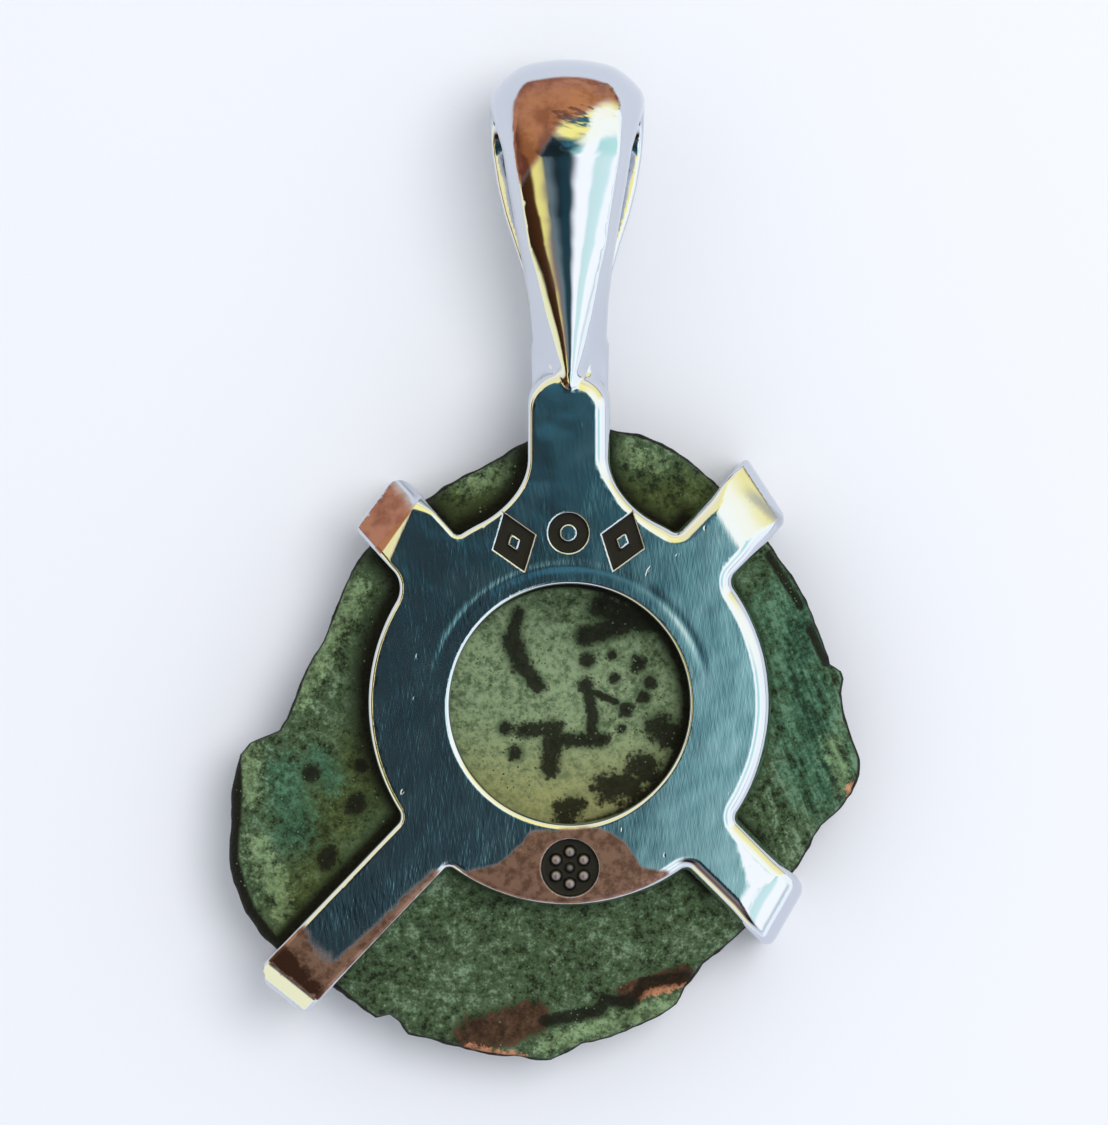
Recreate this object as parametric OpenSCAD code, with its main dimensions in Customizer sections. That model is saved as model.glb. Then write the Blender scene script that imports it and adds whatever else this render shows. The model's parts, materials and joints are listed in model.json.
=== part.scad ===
// Coin pendant: a worn bronze coin held by a cast silver mount.
// The mount is one solid: a flat ring behind the coin, four arms that bend over
// the coin's edge as prongs, and a stem that rises into a fixed, tapered loop bail.
// The pendant lies face down. +Z is the back of the pendant, +Y runs to the bail,
// and the chain would pass through the bail along X.
// The drawing is made about the ring's centre and then moved, so that the origin
// is the middle of the footprint, on the surface that the prongs rest on.

/* [Coin] */
// Diameter that the coin's ragged outline is scaled to
coin_d = 16; // [14:0.25:19]
// Thickness of the coin
coin_t = 1.6; // [1:0.1:2.6]
// Width of the slope worn onto the coin's edges
coin_edge_w = 0.4; // [0.2:0.05:0.7]
// Depth of the slope worn onto the coin's edges
coin_edge_h = 0.3; // [0.1:0.05:0.4]
// How far the middle of each face is worn below the face under the mount
coin_dish = 0.08; // [0:0.01:0.15]

/* [Ring and arms] */
// Outer diameter of the flat ring
ring_d = 10.1; // [9:0.1:11]
// Diameter of the window in the ring
window_d = 6; // [4:0.1:7]
// Thickness of the ring and the arms
plate_t = 1; // [0.7:0.05:1.5]
// Bevel round the window's back edge
window_bevel = 0.12; // [0.05:0.01:0.3]
// Width of each arm
arm_w = 1.76; // [1:0.02:2]
// Fillet in the corner between an arm and the ring
arm_fillet_r = 0.3; // [0.1:0.05:0.5]

/* [Prongs] */
// Wall of a prong outside the coin's edge
prong_t = 0.58; // [0.4:0.02:1]
// Thickness of the pad that a prong lays on the coin's front
pad_t = 0.7; // [0.4:0.05:1.2]
// Length of the pad inside the prong's wall
pad_l = 1.9; // [1.2:0.1:2.5]
// Radius of the bend at the back of a prong
bend_r = 1.3; // [0.8:0.05:1.5]
// Radius of the bend at the front of a prong
front_bend_r = 0.6; // [0.3:0.05:0.9]
// Clearance between the coin and the mount
coin_gap = 0.06; // [0.04:0.01:0.15]

/* [Stem] */
// Height of the stem's flat face above the coin's edge
stem_rise = 1; // [0.8:0.05:2]
// Width of the stem
stem_w = 2.05; // [1.6:0.05:2.6]
// Fillet between the stem and the ring
stem_fillet_r = 1.2; // [0.6:0.1:1.4]

/* [Bail] */
// Height of the bail above the stem's flat face
bail_h = 8.2; // [7:0.1:11]
// Width of the bail at its widest
bail_w = 4; // [3:0.1:5.5]
// Thickness of the strap's crest at the crown
bail_t = 1.3; // [0.9:0.05:1.8]
// Width of the chain hole at the crown
chain_d = 1.9; // [1.4:0.1:3]
// Width of the chain hole at its lower end
chain_foot_d = 0.4; // [0.3:0.05:0.6]
// Height of the solid neck below the chain hole
neck_h = 1.1; // [0.9:0.1:1.6]
// How far the bail's front stays above the surface that the prongs rest on
bail_lift = 0.1; // [0.1:0.05:0.4]

/* [Hidden] */
$fn = 96;
eps = 0.01;
// Share of a radius at which a hidden point lies well inside the ring
sunk = 0.8;

// The coin's outline: bearing in degrees round the ring's centre, counted from +X
// towards +Y, and radius as a share of half the coin's diameter
outline_rows = [
    [2, 0.865], [5, 0.868], [8.5, 0.84], [14, 0.825], [24, 0.815],
    [35, 0.805], [49, 0.815], [58, 0.838], [67, 0.863], [76, 0.875],
    [84, 0.872], [91, 0.86], [99, 0.84], [106, 0.808], [111, 0.796],
    [124, 0.786], [132, 0.79], [142, 0.805], [149, 0.808], [159, 0.797],
    [166, 0.806], [173, 0.842], [179, 0.868], [183, 0.895], [185.5, 0.925],
    [187.2, 1.02], [189, 1.058], [193, 1.09], [199, 1.133], [205, 1.19],
    [209, 1.207], [213, 1.22], [218, 1.218], [221, 1.205], [227, 1.175],
    [232, 1.166], [238.4, 1.17], [240, 1.143], [242, 1.146], [244, 1.165],
    [249, 1.147], [256, 1.141], [262, 1.133], [267, 1.134], [270, 1.1],
    [272, 1.08], [277, 1.067], [282, 1.045], [287.5, 1.025], [289.5, 1.012],
    [292, 0.97], [297, 0.927], [301, 0.917], [308, 0.905], [317, 0.88],
    [324, 0.888], [331, 0.882], [334, 0.888], [338, 0.916], [342, 0.936],
    [346, 0.942], [349, 0.934], [353, 0.897], [357, 0.87]
];

// The four arms: bearing in degrees round the ring's centre, wall of the prong as a
// share of prong_t, width as a share of arm_w, shift in mm off the ring's centre
// towards greater bearings, and radius of the back bend as a share of bend_r
arm_rows = [
    [47, 1.2, 1.04, 0.055, 1],
    [132.3, 1.07, 1.014, 0.15, 0.92],
    [226.3, 0.82, 0.935, -0.227, 0.55],
    [315, 0.81, 1.014, 0.037, 1]
];
function bearing(row) = row[0];
function left_side(row) = arm_w * row[2] / 2 + row[3];
function right_side(row) = arm_w * row[2] / 2 - row[3];
function bend(row) = bend_r * row[4];

// The bail's strap: height as a share of bail_h, half width of the front leg, of
// the back leg and of the crest as shares of half of bail_w, and the strap's
// thickness as a share of bail_t
strap_rows = [
    [0, 0.46, 0.46, 0.1, 0.84],
    [0.1, 0.47, 0.47, 0.2, 0.86],
    [0.24, 0.51, 0.51, 0.32, 0.9],
    [0.35, 0.57, 0.56, 0.41, 0.93],
    [0.44, 0.68, 0.63, 0.5, 0.95],
    [0.53, 0.8, 0.71, 0.56, 0.97],
    [0.62, 0.89, 0.79, 0.62, 0.98],
    [0.71, 0.95, 0.87, 0.7, 0.99],
    [0.79, 0.98, 0.94, 0.73, 1],
    [0.87, 1, 1, 0.73, 1]
];

// Heights of the layers, from the surface under the prongs to the mount's back
coin_z = pad_t + coin_gap;
plate_z = coin_z + coin_t + coin_gap;
back_z = plate_z + plate_t;

ring_r = ring_d / 2;
window_r = window_d / 2;

// Value of one column of a table at a key, between the rows on either side
function column(rows, key, col) = lookup(key, [for (r = rows) [r[0], r[col]]]);

// Radius of the coin at a bearing
closed_rows = concat(outline_rows, [[outline_rows[0][0] + 360, outline_rows[0][1]]]);
function wrapped(b) = b < outline_rows[0][0] ? b + 360 : b;
function coin_r(b) = coin_d / 2 * column(closed_rows, wrapped(b), 1);

// Distance from the ring's centre, along a bearing, to the part of the coin's edge
// between two sides, given by their distances left and right of that bearing
least_r = coin_d / 2 * min([for (r = outline_rows) r[1]]);
reach_steps = 12;
function edge_reach(b, left, right) =
    let (first = -asin(right / least_r), last = asin(left / least_r))
    max([for (k = [0 : reach_steps])
        let (d = first + (last - first) * k / reach_steps) coin_r(b + d) * cos(d)]);
function wall_in(row) =
    edge_reach(bearing(row), left_side(row), right_side(row)) + coin_gap;
function wall_out(row) = wall_in(row) + prong_t * row[1];

// Heights along the stem and the bail, from the ring's centre
stem_front = edge_reach(90, stem_w / 2, stem_w / 2) + coin_gap;
stem_top = stem_front + stem_rise;
bail_top = stem_top + bail_h;

// The chain hole: two circles joined by tangents, drawn with up along +Y
hole_r = chain_d / 2;
foot_r = chain_foot_d / 2;
hole_y = bail_top - bail_t - hole_r;
foot_y = stem_top + neck_h + foot_r;
hole_z = bail_lift + bail_t + hole_r;
leg_lean = asin((hole_r - foot_r) / (hole_y - foot_y));

// The footprint's extent, which sets the origin
outline_xy = [for (r = outline_rows) coin_r(r[0]) * [cos(r[0]), sin(r[0])]];
prong_xy = [for (row = arm_rows, side = [-right_side(row), left_side(row)])
    let (b = bearing(row))
    wall_out(row) * [cos(b), sin(b)] + side * [-sin(b), cos(b)]];
foot_xy = concat(outline_xy, prong_xy);
foot_x = [for (p = foot_xy) p[0]];
foot_yy = [for (p = foot_xy) p[1]];
shift_x = -(min(foot_x) + max(foot_x)) / 2;
shift_y = -(min(foot_yy) + bail_top) / 2;

// A square corner with a round bite, as a tool that rounds an edge
module corner(r) {
    difference() {
        translate([-eps, -eps]) square(r + eps);
        translate([r, r]) circle(r);
    }
}

// Fillet between the ring and the left side of a bar that leaves it along +X
module root_fillet(left, fillet_r) {
    side = left + fillet_r;
    along = sqrt(pow(ring_r + fillet_r, 2) - pow(side, 2));
    touch = ring_r / (ring_r + fillet_r);
    difference() {
        polygon([
            [along * sunk, left - eps], [along, left - eps], [along, left],
            [along, side], [along * touch, side * touch],
            [along * touch * sunk, side * touch * sunk]
        ]);
        translate([along, side]) circle(fillet_r);
    }
}

module bar_outline(left, right, l, fillet_r) {
    translate([0, -right]) square([l, left + right]);
    root_fillet(left, fillet_r);
    mirror([0, 1]) root_fillet(right, fillet_r);
}

// Ring, arms and stem, cut from one plate, with a bevel round the window
module plate() {
    difference() {
        translate([0, 0, plate_z]) linear_extrude(plate_t) {
            circle(ring_r);
            for (row = arm_rows) rotate(bearing(row))
                bar_outline(left_side(row), right_side(row), wall_out(row), arm_fillet_r);
            rotate(90) bar_outline(stem_w / 2, stem_w / 2, stem_top, stem_fillet_r);
        }
        translate([0, 0, plate_z - eps])
            cylinder(r = window_r, h = plate_t + 2 * eps);
        translate([0, 0, back_z - window_bevel])
            cylinder(r1 = window_r, r2 = window_r + 2 * window_bevel,
                h = 2 * window_bevel);
    }
}

// Side view of a prong under the plate, outwards along +X. It ends in mid plate.
module prong_side(row, pad_root) {
    wall = wall_out(row) - wall_in(row);
    difference() {
        union() {
            translate([wall_in(row), 0]) square([wall, (plate_z + back_z) / 2]);
            translate([pad_root, 0]) square([wall_out(row) - pad_root, pad_t]);
        }
        translate([wall_out(row), 0]) rotate(90) corner(front_bend_r);
    }
}

// One prong with its round-ended pad
module prong(row) {
    w = left_side(row) + right_side(row);
    pad_root = wall_in(row) - pad_l + w / 2;
    rotate(bearing(row)) translate([0, left_side(row) - w / 2, 0]) {
        translate([0, w / 2, 0]) rotate([90, 0, 0])
            linear_extrude(w) prong_side(row, pad_root);
        translate([pad_root, 0, 0]) cylinder(r = w / 2, h = pad_t);
    }
}

// What the bend takes off an arm's end at the back, cut wider than the arm
module bend_cut(row) {
    rotate(bearing(row)) translate([wall_out(row), arm_w, back_z]) rotate([90, 0, 0])
        linear_extrude(2 * arm_w) rotate(180) corner(bend(row));
}

// The solid neck between the stem and the chain hole, which fills the depth of
// the two legs where they meet
neck_w = bail_w * strap_rows[0][1];
neck_low = hole_z - foot_r - bail_t * strap_rows[0][4];
module neck() {
    translate([-neck_w / 2, stem_front, neck_low])
        cube([neck_w, foot_y - stem_front, (plate_z + back_z) / 2 - neck_low]);
}

// One section of the strap: across the strap, and outwards from the chain hole.
// The strap is thinner at its sides and at the crest's edges, by these shares.
side_share = 0.16;
crest_share = 0.8;
middle_share = (3 + crest_share) / 4;
function section(half_w, crest, t) = [
    [half_w, 0], [half_w, side_share * t], [crest, crest_share * t],
    [crest / 2, middle_share * t], [0, t], [-crest / 2, middle_share * t],
    [-crest, crest_share * t], [-half_w, side_share * t], [-half_w, 0]
];

// The strap's path round the chain hole: place in the YZ plane, and the bearing
// of the outward normal from +Y towards +Z
crown_end = 90 + leg_lean;
crown_steps = 20;
leg_steps = 9;
foot_steps = 6;
function on_circle(y, r, a) = [y + r * cos(a), r * sin(a), a];
function between(p, q, s) = [for (k = [0 : 2]) p[k] + s * (q[k] - p[k])];
strap_path = concat(
    [for (k = [0 : crown_steps])
        on_circle(hole_y, hole_r, crown_end * (1 - 2 * k / crown_steps))],
    [for (k = [1 : leg_steps - 1])
        between(on_circle(hole_y, hole_r, -crown_end),
            on_circle(foot_y, foot_r, -crown_end), k / leg_steps)],
    [for (k = [0 : foot_steps])
        on_circle(foot_y, foot_r,
            -crown_end - (360 - 2 * crown_end) * k / foot_steps)],
    [for (k = [1 : leg_steps - 1])
        between(on_circle(foot_y, foot_r, crown_end),
            on_circle(hole_y, hole_r, crown_end), k / leg_steps)]
);

function strap_section(p) =
    let (h = (p[0] - stem_top) / bail_h,
        back = (1 + sin(p[2])) / 2,
        half = column(strap_rows, h, 1) * (1 - back)
            + column(strap_rows, h, 2) * back)
    section(half * bail_w / 2, column(strap_rows, h, 3) * bail_w / 2,
        column(strap_rows, h, 4) * bail_t);

module bail() {
    n = len(strap_path);
    m = len(section(1, 0.5, 1));
    points = [for (p = strap_path, s = strap_section(p))
        [s[0], p[0] + s[1] * cos(p[2]), hole_z + p[1] + s[1] * sin(p[2])]];
    faces = [for (i = [0 : n - 1], j = [0 : m - 1])
        let (a = i * m, b = ((i + 1) % n) * m, k = (j + 1) % m)
        each [[a + j, b + k, b + j], [a + j, a + k, b + k]]];
    polyhedron(points, faces);
}

module setting() {
    color("silver")
    translate([shift_x, shift_y, 0]) {
        difference() {
            union() {
                plate();
                for (row = arm_rows) prong(row);
            }
            for (row = arm_rows) bend_cut(row);
        }
        neck();
        bail();
    }
}

// The coin's rings of points, from the middle of the front to the middle of the
// back: share of the outline's radius, width inside the outline, and height
module coin() {
    layers = [
        [0.4, 0, coin_dish], [0.75, 0, coin_dish / 2], [1, coin_edge_w, 0],
        [1, coin_edge_w / 4, coin_edge_h / 2], [1, 0, coin_edge_h],
        [1, 0, coin_t - coin_edge_h],
        [1, coin_edge_w / 4, coin_t - coin_edge_h / 2],
        [1, coin_edge_w, coin_t], [0.75, 0, coin_t - coin_dish / 2],
        [0.4, 0, coin_t - coin_dish]
    ];
    bearings = [for (i = [0 : len(outline_rows) - 1])
        let (a = closed_rows[i][0], b = closed_rows[i + 1][0])
        each [a, (a + b) / 2]];
    n = len(bearings);
    points = [for (l = layers, b = bearings)
        let (r = coin_r(b) * l[0] - l[1]) [r * cos(b), r * sin(b), l[2]]];
    walls = [for (i = [0 : len(layers) - 2], j = [0 : n - 1])
        let (k = (j + 1) % n)
        each [[i * n + j, (i + 1) * n + j, (i + 1) * n + k],
            [i * n + j, (i + 1) * n + k, i * n + k]]];
    front = [for (j = [0 : n - 1]) j];
    back = [for (j = [n - 1 : -1 : 0]) (len(layers) - 1) * n + j];
    color("darkolivegreen")
    translate([shift_x, shift_y, coin_z])
        polyhedron(points, concat(walls, [front, back]));
}

setting();
coin();
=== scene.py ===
import json
import math

import bpy
import numpy as np
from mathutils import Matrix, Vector


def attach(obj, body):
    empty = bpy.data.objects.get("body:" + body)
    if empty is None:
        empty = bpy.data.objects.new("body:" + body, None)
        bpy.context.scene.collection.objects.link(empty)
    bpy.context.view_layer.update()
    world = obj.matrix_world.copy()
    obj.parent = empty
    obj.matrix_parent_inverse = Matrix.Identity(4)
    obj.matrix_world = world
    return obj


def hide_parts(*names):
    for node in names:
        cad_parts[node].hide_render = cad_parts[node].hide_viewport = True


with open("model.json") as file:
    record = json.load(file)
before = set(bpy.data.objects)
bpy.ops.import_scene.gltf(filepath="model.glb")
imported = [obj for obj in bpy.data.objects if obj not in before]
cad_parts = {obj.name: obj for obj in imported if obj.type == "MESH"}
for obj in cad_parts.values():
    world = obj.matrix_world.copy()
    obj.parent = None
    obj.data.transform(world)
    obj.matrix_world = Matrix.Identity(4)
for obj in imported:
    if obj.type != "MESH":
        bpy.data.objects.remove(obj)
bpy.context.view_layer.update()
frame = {"record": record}

# The places of the ring, its back and the bail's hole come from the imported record. All shapes
# are worked out in millimetres from the ring's centre: u to the right, v to the bail and z, from
# the table up, to the pendant's back. A field is negative inside its shape.
record = frame["record"]
mounts = {mount["name"]: np.array(mount["pos_m"]) * 1000 for mount in record["mounts"]}
ringCentre = (np.array(record["physics"]["openings"][0]["box_m"]) * 1000).mean(axis=0)
ringCentre[2] = 0
backZ = mounts["back"][2]              # height of the mount's flat back
holeY = mounts["bail"][1] - ringCentre[1]
holeZ = mounts["bail"][2]


def smooth(x, low, high):
    t = np.clip((x - low) / (high - low), 0, 1)
    return t * t * (3 - 2 * t)


# Two fields joined, and two cut to what they share, with a fillet or rounding of radius r
def roundMin(a, b, r):
    return np.maximum(r, np.minimum(a, b)) - np.hypot(np.maximum(r - a, 0), np.maximum(r - b, 0))


def roundMax(a, b, r):
    return -roundMin(-a, -b, r)


# Smooth noise from a hashed lattice, the same each run
def hashLattice(ix, iy, iz, seed):
    h = (ix * 73856093) ^ (iy * 19349663) ^ (iz * 83492791) ^ (seed * 2654435761)
    h = (h ^ (h >> 13)) * 1274126177
    return ((h ^ (h >> 16)) & 0xFFFF) / 32767.5 - 1


def softNoise(x, y, z, size, seed):
    x, y, z = np.broadcast_arrays(x / size, y / size, z / size)
    base = [np.floor(a).astype(np.int64) for a in (x, y, z)]
    part = [a - b for a, b in zip((x, y, z), base)]
    part = [t * t * (3 - 2 * t) for t in part]
    total = 0
    for corner in range(8):
        step = [(corner >> k) & 1 for k in range(3)]
        weight = 1
        for t, s in zip(part, step):
            weight = weight * (t if s else 1 - t)
        total = total + weight * hashLattice(*[b + s for b, s in zip(base, step)], seed)
    return total


# A closed mesh on a field's zero level: one point in each cell that the surface crosses, pulled
# onto the surface, then edges split where the surface turns quickly
def gradient(field, p, h=0.004):
    shifts = np.eye(3) * h
    return np.stack([field(*(p + s).T) - field(*(p - s).T) for s in shifts], axis=1) / (2 * h)


def ontoSurface(field, p, rounds, reach):
    for _ in range(rounds):
        g = gradient(field, p)
        step = field(*p.T) / np.maximum((g * g).sum(axis=1), 0.05)
        move = g * step[:, None]
        length = np.linalg.norm(move, axis=1, keepdims=True)
        p = p - move * np.minimum(1, reach / np.maximum(length, 1e-9))
    return p


def cellNet(field, low, high, step):
    axes = [np.arange(a, b + step, step) for a, b in zip(low, high)]
    grid = np.meshgrid(*axes, indexing="ij", sparse=True)
    value = field(*grid)
    inside = value < 0
    count = np.zeros([n - 1 for n in inside.shape], np.int8)
    spot = np.zeros(list(count.shape) + [3])
    crossings = np.zeros(count.shape)
    size = inside.shape

    def corner(array, bits):
        return array[tuple(slice(b, size[k] - 1 + b) for k, b in enumerate(bits))]

    for axis in range(3):
        others = [k for k in range(3) if k != axis]
        for a in (0, 1):
            for b in (0, 1):
                bits = [0, 0, 0]
                bits[others[0]], bits[others[1]] = a, b
                ends = list(bits)
                ends[axis] = 1
                v0, v1 = corner(value, bits), corner(value, ends)
                cross = (v0 < 0) != (v1 < 0)
                t = np.where(cross, v0 / np.where(cross, v0 - v1, 1), 0)
                crossings += cross
                spot[..., others[0]] += cross * a
                spot[..., others[1]] += cross * b
                spot[..., axis] += cross * t
    active = crossings > 0
    index = np.full(count.shape, -1)
    index[active] = np.arange(active.sum())
    where = np.argwhere(active)
    points = np.array(low) + step * (where + spot[active] / crossings[active][:, None])
    quads = []
    for axis in range(3):
        one, two = (axis + 1) % 3, (axis + 2) % 3
        lowCorner = [slice(None)] * 3
        highCorner = [slice(None)] * 3
        lowCorner[axis] = slice(0, size[axis] - 1)
        highCorner[axis] = slice(1, size[axis])
        first, last = inside[tuple(lowCorner)], inside[tuple(highCorner)]
        change = np.argwhere(first != last)
        keep = (change[:, one] > 0) & (change[:, two] > 0)
        keep &= (change[:, one] < size[one] - 1) & (change[:, two] < size[two] - 1)
        change = change[keep]
        outward = first[tuple(change.T)]
        ring = []
        for a, b in ((1, 1), (0, 1), (0, 0), (1, 0)):
            cell = change.copy()
            cell[:, one] -= a
            cell[:, two] -= b
            ring.append(index[tuple(cell.T)])
        ring = np.stack(ring, axis=1)
        quads.append(np.where(outward[:, None], ring, ring[:, ::-1]))
    return points, np.concatenate(quads)


def quadsToTriangles(points, quads):
    a, b, c, d = (points[quads[:, k]] for k in range(4))
    short = np.linalg.norm(a - c, axis=1) <= np.linalg.norm(b - d, axis=1)
    q = np.where(short[:, None], quads, np.roll(quads, -1, axis=1))
    return np.concatenate([q[:, [0, 1, 2]], q[:, [0, 2, 3]]])


# Puts a point in the middle of each wanted edge and cuts its triangles there
def splitMarked(points, tris, wanted):
    count = len(points)
    pairs = np.sort(np.stack([tris, np.roll(tris, -1, axis=1)], axis=2), axis=2)
    codes = (pairs[..., 0].astype(np.int64) * count + pairs[..., 1]).ravel()
    unique, back = np.unique(codes, return_inverse=True)
    ends = np.stack([unique // count, unique % count], axis=1)
    mark = wanted(ends[:, 0], ends[:, 1])
    middle = np.where(mark, count + np.cumsum(mark) - 1, -1)
    fresh = points[ends[mark]].mean(axis=1)
    m = middle[back.reshape(-1, 3)]
    pieces = [tris[(m < 0).all(axis=1)]]
    for turn in range(3):
        t, k = np.roll(tris, -turn, axis=1), np.roll(m, -turn, axis=1)
        one = (k[:, 0] >= 0) & (k[:, 1] < 0) & (k[:, 2] < 0)
        a, b, c = t[one].T
        x = k[one, 0]
        pieces += [np.stack(f, axis=1) for f in ((a, x, c), (x, b, c))]
        two = (k[:, 0] >= 0) & (k[:, 1] >= 0) & (k[:, 2] < 0)
        a, b, c = t[two].T
        x, y = k[two, 0], k[two, 1]
        pieces += [np.stack(f, axis=1) for f in ((x, b, y), (a, x, y), (a, y, c))]
    three = (m >= 0).all(axis=1)
    a, b, c = tris[three].T
    x, y, z = m[three].T
    pieces += [np.stack(f, axis=1) for f in ((a, x, z), (x, b, y), (z, y, c), (x, y, z))]
    return np.concatenate([points, fresh]), np.concatenate(pieces)


def skin(field, low, high, step, bends, shortest, fine):
    points, quads = cellNet(field, low, high, step)
    points = ontoSurface(field, points, 3, step * 0.7)
    tris = quadsToTriangles(points, quads)
    for turn in bends:
        normal = gradient(field, points)
        normal /= np.linalg.norm(normal, axis=1, keepdims=True)
        limit = math.cos(math.radians(turn))

        def wanted(i, j):
            mark = (normal[i] * normal[j]).sum(axis=1) < limit
            length = np.linalg.norm(points[i] - points[j], axis=1)
            middle = (points[i] + points[j]) / 2
            return mark & (length > shortest(middle)) | fine(middle, length)

        known = len(points)
        points, tris = splitMarked(points, tris, wanted)
        points[known:] = ontoSurface(field, points[known:], 2, step * 0.3)
    normal = gradient(field, points)
    normal /= np.linalg.norm(normal, axis=1, keepdims=True)
    return points, tris, normal


# A piece of the object from a skin, with the values that its material reads at each point
def makePiece(name, points, tris, normal, values):
    mesh = bpy.data.meshes.new(name)
    mesh.vertices.add(len(points))
    mesh.vertices.foreach_set("co", ((points + ringCentre) / 1000).astype(np.float32).ravel())
    mesh.loops.add(len(tris) * 3)
    mesh.loops.foreach_set("vertex_index", tris.astype(np.int32).ravel())
    mesh.polygons.add(len(tris))
    mesh.polygons.foreach_set("loop_start", np.arange(0, len(tris) * 3, 3, dtype=np.int32))
    mesh.update(calc_edges=True)
    for key, value in values.items():
        layer = mesh.attributes.new(key, "FLOAT", "POINT")
        layer.data.foreach_set("value", value.astype(np.float32))
    mesh.polygons.foreach_set("use_smooth", np.ones(len(tris), bool))
    mesh.normals_split_custom_set_from_vertices(normal.tolist())
    mesh.validate()
    piece = bpy.data.objects.new(name, mesh)
    bpy.context.scene.collection.objects.link(piece)
    return piece


# The silver setting. Sizes in millimetres.
settingSizes = {
    "ringR": 5.05, "windowR": 3.0, "plateT": 1.0,
    "grooveR": 3.46, "grooveDepth": 0.007,      # a faint line cut round the window
    "barStart": 4.2,        # where a prong's bar begins inside the ring
    "padT": 0.7, "padL": 1.9, "padRound": 0.45,
    "innerEdge": 0.08,      # rounding of the edges that face the coin
    "crispEdge": 0.14,      # rounding of the ring's edge on its left side
    "softEdge": 0.42,       # the same on its right side, worn wider
    "stemHalf": 1.025, "stemShift": -0.025, "stemTop": 7.996, "stemFillet": 1.2,
    "tongueTop": 8.35, "tongueRound": 0.85,     # the rounded end of the stem's back
    "neckLow": (-0.93, 7.0, 1.25), "neckHigh": (0.95, 9.2, 2.5),    # block under the bail's foot
    "bailH": 8.2, "bailW": 4.0, "bailT": 1.3, "holeR": 0.95, "footR": 0.2, "footY": 9.296,
    "bailShift": 0.075,     # how far to the left the bail stands at its top
    "crestFall": 0.2,       # what the crest falls to its sides, as a share of its thickness
    "dentDepth": 0.055, "dentPlace": (0.02, 14.5), "dentHalf": (0.55, 0.42),    # in the crown
}

# The four arms: bearing round the ring's centre, sideways shift, width, reach of the prong's
# outer wall and of its inner wall, turn of the outer wall from square, fillets and edge
# roundings on the arm's two sides at its end, the facet filed off the left corner (its slope,
# where it begins and the way it falls), and the bend over the coin's edge: how far before the
# wall it begins, its radius, the slope it ends at, and the rounding from there into the wall
armColumns = ("bearing", "shift", "width", "wallOut", "wallIn", "turn", "filletLeft",
              "filletRight", "edgeLeft", "edgeRight", "cheek", "cheekFrom", "cheekTurn",
              "run", "bend", "slope", "roundOut")
armRows = [dict(zip(armColumns, row)) for row in [
    (47, 0.055, 1.83, 7.337, 6.68, -13.8, 0.12, 0.2, 0.14, 0.24, 0, 9, 0, 1.54, 2.0, 44, 0.2),
    (132.3, 0.15, 1.785, 7.041, 6.42, 11.4, 0.45, 0.12, 0.14, 0.5, 0.29, 5.62, 24,
     0.9, 0.15, 38, 0.04),
    (226.3, -0.227, 1.646, 10.32, 9.7, 5, 0.15, 0.2, 0.14, 0.12, 0, 9, 0, 0.52, 0.12, 38, 0.12),
    (315, 0.037, 1.785, 7.714, 7.24, 15, 0.12, 0.12, 0.26, 0.3, 0.13, 4.7, 61.6,
     1.4, 2.2, 32, 0.4),
]]

# The bail's strap: height as a share of the bail's, half widths of the front leg, the back leg
# and the crest as shares of half of the bail's width, and thickness as a share of the crown's
strapRows = np.array([
    [0, 0.46, 0.46, 0.1, 0.84],
    [0.1, 0.47, 0.47, 0.2, 0.86],
    [0.24, 0.51, 0.51, 0.32, 0.9],
    [0.35, 0.57, 0.56, 0.41, 0.93],
    [0.44, 0.68, 0.63, 0.5, 0.95],
    [0.53, 0.8, 0.69, 0.55, 0.97],
    [0.62, 0.89, 0.755, 0.605, 0.98],
    [0.71, 0.95, 0.81, 0.665, 0.99],
    [0.79, 0.98, 0.9, 0.715, 1],
    [0.87, 1, 1, 0.735, 1],
])
plateZ = backZ - settingSizes["plateT"]


# Distances along an arm from the ring's centre and across it, more to its left
def armFrame(arm, u, v):
    b = math.radians(arm["bearing"])
    return (u * math.cos(b) + v * math.sin(b),
            v * math.cos(b) - u * math.sin(b) - arm["shift"])


# How far a place lies beyond the line where the arm's bend begins
def pastBend(arm, along, across):
    turn = math.radians(arm["turn"])
    return (along - arm["wallOut"]) * math.cos(turn) + across * math.sin(turn) + arm["run"]


# How round the edge of the back is: crisp on the left, worn on the right
def edgeRounding(u, v):
    crisp, soft = settingSizes["crispEdge"], settingSizes["softEdge"]
    r = crisp + (soft - crisp) * smooth(u, -2.0, 4.5)
    onStem = smooth(v, 5.2, 6.2)
    stemEdge = 0.12 + 0.26 * smooth(u, -0.3, 0.3) + 0.22 * smooth(v, 7.3, 8.2)
    r = r + (stemEdge - r) * onStem
    for arm in armRows:
        along, across = armFrame(arm, u, v)
        left = smooth(across, -0.3, 0.3)
        side = arm["edgeRight"] + (arm["edgeLeft"] - arm["edgeRight"]) * left
        onArm = smooth(along, arm["wallOut"] - 1.3, arm["wallOut"] - 0.5) * (np.abs(across) < 1.4)
        r = r + (side - r) * onArm
    return r


# How far the filed back falls off to the right and to the foot
def dome(u, v):
    toRight = 0.0045 * np.maximum(u + 1, 0) ** 2 * smooth(-u, -9, -5.5)
    toFoot = 0.0016 * np.minimum(v + 0.5, 0) ** 2 * smooth(v, -9, -5)
    return toRight + toFoot


# How deep the facet on an arm's left corner is cut
def cornerFacet(arm, along, across):
    way = math.radians(arm["cheekTurn"])
    beyond = (along - arm["cheekFrom"]) * math.cos(way) + (across - 0.8) * math.sin(way)
    beyond = np.maximum(np.minimum(beyond, along - 4.9), 0)
    return arm["cheek"] * beyond ** 2 / (beyond + 0.1)


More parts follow.
